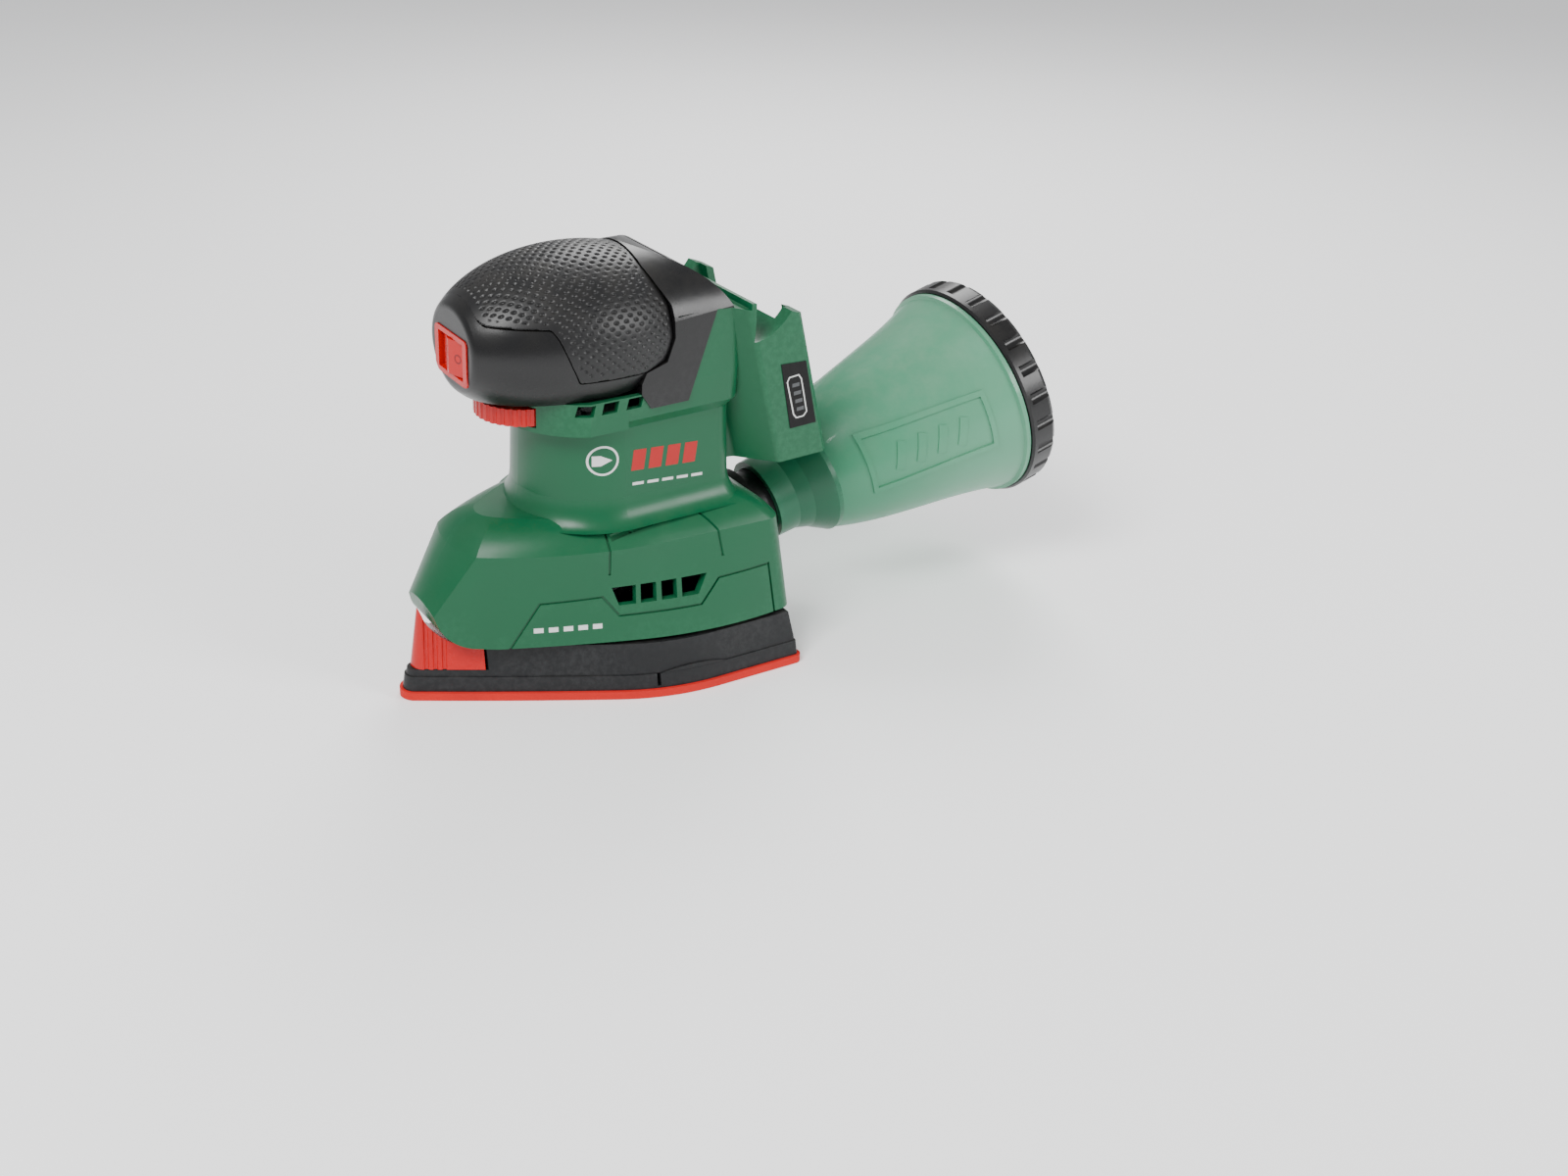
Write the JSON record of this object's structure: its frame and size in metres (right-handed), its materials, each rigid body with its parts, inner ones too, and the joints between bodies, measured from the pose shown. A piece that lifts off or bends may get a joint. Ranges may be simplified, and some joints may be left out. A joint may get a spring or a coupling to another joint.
{
  "type": "cordless orbital multi sander",
  "caption": "Cordless orbital sander with an iron-shaped hook plate, palm grip with rocker switch, speed dial, rear battery rails and a clip-on dust box on a rear port",
  "frame": {"origin": "on the sanding face, below the motor's axis", "axes": "-Z is the sanding face's outward normal, -Y points to the plate's nose, +Y to the dust box, +X to the tool's left"},
  "size_m": [0.102, 0.2823, 0.1665],
  "materials": {
    "green_plastic": "fine satin grain",
    "black_plastic": "fine matte grain",
    "soft_rubber": "soft, dimpled",
    "red_plastic": "smooth satin",
    "hook_fabric": "hook and loop",
    "clear_green": "frosted translucent",
    "steel": "machined",
    "can_steel": "zinc plated",
    "brass": "stamped",
    "copper": "copper windings and segments",
    "carbon": "pressed carbon",
    "ferrite": "sintered",
    "board": "circuit board",
    "paper": "pleated filter paper",
    "label": "printed label"
  },
  "bodies": {
    "housing": {"housing_left": "green_plastic", "housing_right": "green_plastic", "housing_screws": "steel", "top_cap": "black_plastic", "soft_grip": "soft_rubber", "switch_frame": "red_plastic", "switch_body": "black_plastic", "dial_pin": "steel", "motor_can": "can_steel", "motor_magnets": "ferrite", "motor_end": "black_plastic", "upper_bearing": "steel", "lower_bearing": "steel", "brushes": "carbon", "brush_holders": "brass", "rubber_feet": "soft_rubber", "dust_port": "black_plastic", "port_seal": "soft_rubber", "terminal_holder": "black_plastic", "terminals": "brass", "control_board": "board", "foot_labels": "label"},
    "rotor": {"rotor_shaft": "steel", "armature": "copper", "commutator": "copper", "fan": "black_plastic", "eccentric_weight": "can_steel"},
    "sanding_plate": {"hook_pad": "hook_fabric", "flex_sole": "black_plastic", "plate_carrier": "black_plastic", "plate_screws": "steel", "plate_bearing": "steel"},
    "nose_lever": {"nose_lever": "red_plastic"},
    "rocker": {"rocker": "red_plastic"},
    "speed_dial": {"speed_dial": "red_plastic"},
    "dust_box": {"dust_adapter": "green_plastic", "dust_body": "clear_green"},
    "filter": {"filter_frame": "black_plastic", "filter_paper": "paper"},
    "lock_ring": {"lock_ring": "black_plastic"}
  },
  "joints": [
    {"name": "motor_spin", "type": "hinge", "parent": "housing", "child": "rotor", "pos_m": [0, 0, 0.06], "axis": [0, 0, 1], "continuous": true},
    {"name": "plate_orbit", "type": "hinge", "parent": "rotor", "child": "sanding_plate", "pos_m": [0, -0.0008, 0.0255], "axis": [0, 0, 1], "continuous": true, "deforming": ["rubber_feet"]},
    {"name": "lever_slide", "type": "slide", "parent": "sanding_plate", "child": "nose_lever", "axis": [0, -1, 0], "range_m": [0, 0.003]},
    {"name": "rocker_tilt", "type": "hinge", "parent": "housing", "child": "rocker", "pos_m": [0, -0.0485, 0.1326], "axis": [0, 0, 1], "range_deg": [-6, 6]},
    {"name": "dial_turn", "type": "hinge", "parent": "housing", "child": "speed_dial", "pos_m": [0, -0.027, 0.11025], "axis": [0, 0, 1], "range_deg": [0, 270]},
    {"name": "dust_box_slide", "type": "slide", "parent": "housing", "child": "dust_box", "axis": [0, 0.9636, 0.2672], "range_m": [0, 0.03]},
    {"name": "filter_slide", "type": "slide", "parent": "dust_box", "child": "filter", "axis": [0, 0.9636, 0.2672], "range_m": [0, 0.06]},
    {"name": "lock_ring_turn", "type": "hinge", "parent": "filter", "child": "lock_ring", "pos_m": [0, 0.18453, 0.07557], "axis": [0, 0.9636, 0.2672], "range_deg": [0, 30]}
  ],
  "couplings": [
    {"joint": "plate_orbit", "follows": "motor_spin", "ratio": -1}
  ]
}
